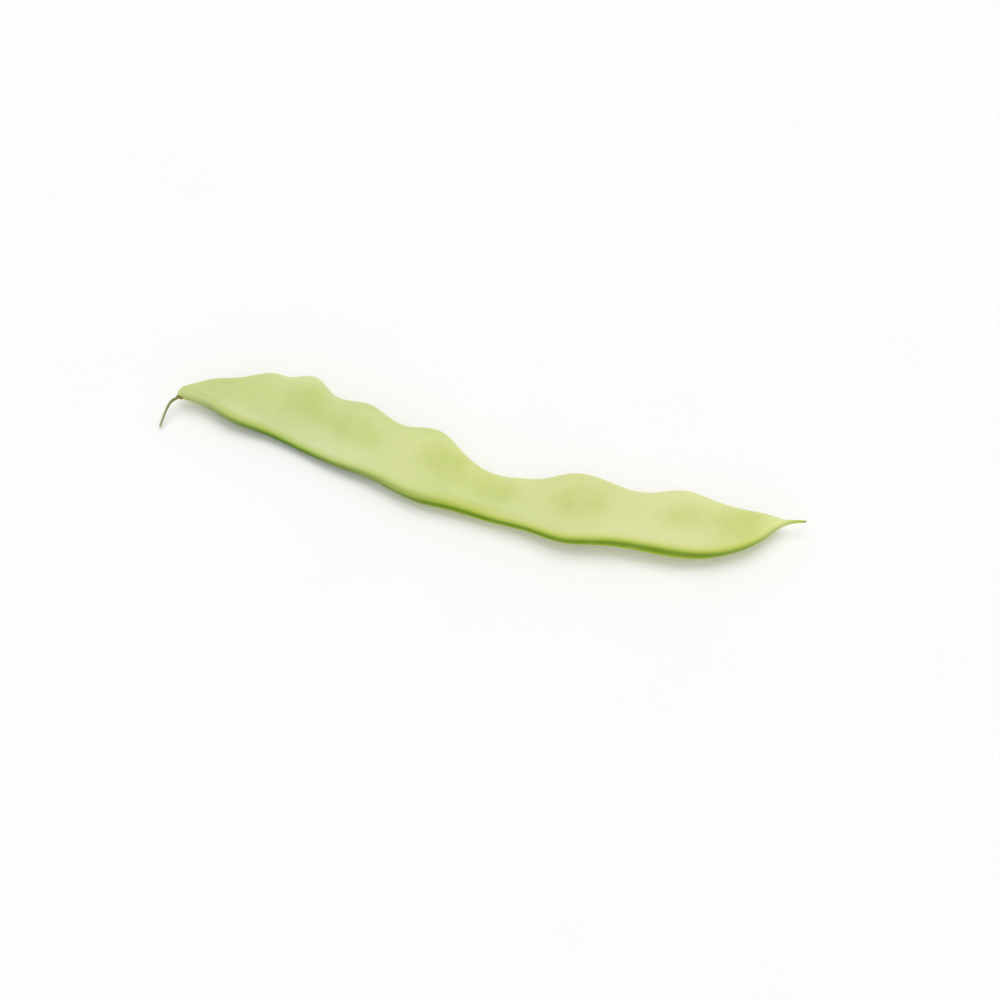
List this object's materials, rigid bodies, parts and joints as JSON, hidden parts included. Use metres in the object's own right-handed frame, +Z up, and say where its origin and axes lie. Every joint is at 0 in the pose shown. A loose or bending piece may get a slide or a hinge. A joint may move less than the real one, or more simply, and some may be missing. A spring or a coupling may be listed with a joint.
{
  "type": "flat bean",
  "caption": "Fresh flat bean pod lying on its side: long bowed green pod that swells over its seeds, with a pointed beak and a short curled stalk.",
  "frame": {"origin": "middle of the object's box in plan, on the surface that the pod rests on", "axes": "+X along the pod from the stalk end to the beak, +Y towards the wavy edge, +Z up out of the upper face"},
  "size_m": [0.224, 0.046, 0.0105],
  "materials": {
    "pod_skin": "satin",
    "dry_calyx": "matte",
    "stalk": "matte"
  },
  "bodies": {
    "root": {"pod": "pod_skin", "calyx": "dry_calyx", "stem": "stalk"}
  },
  "joints": []
}
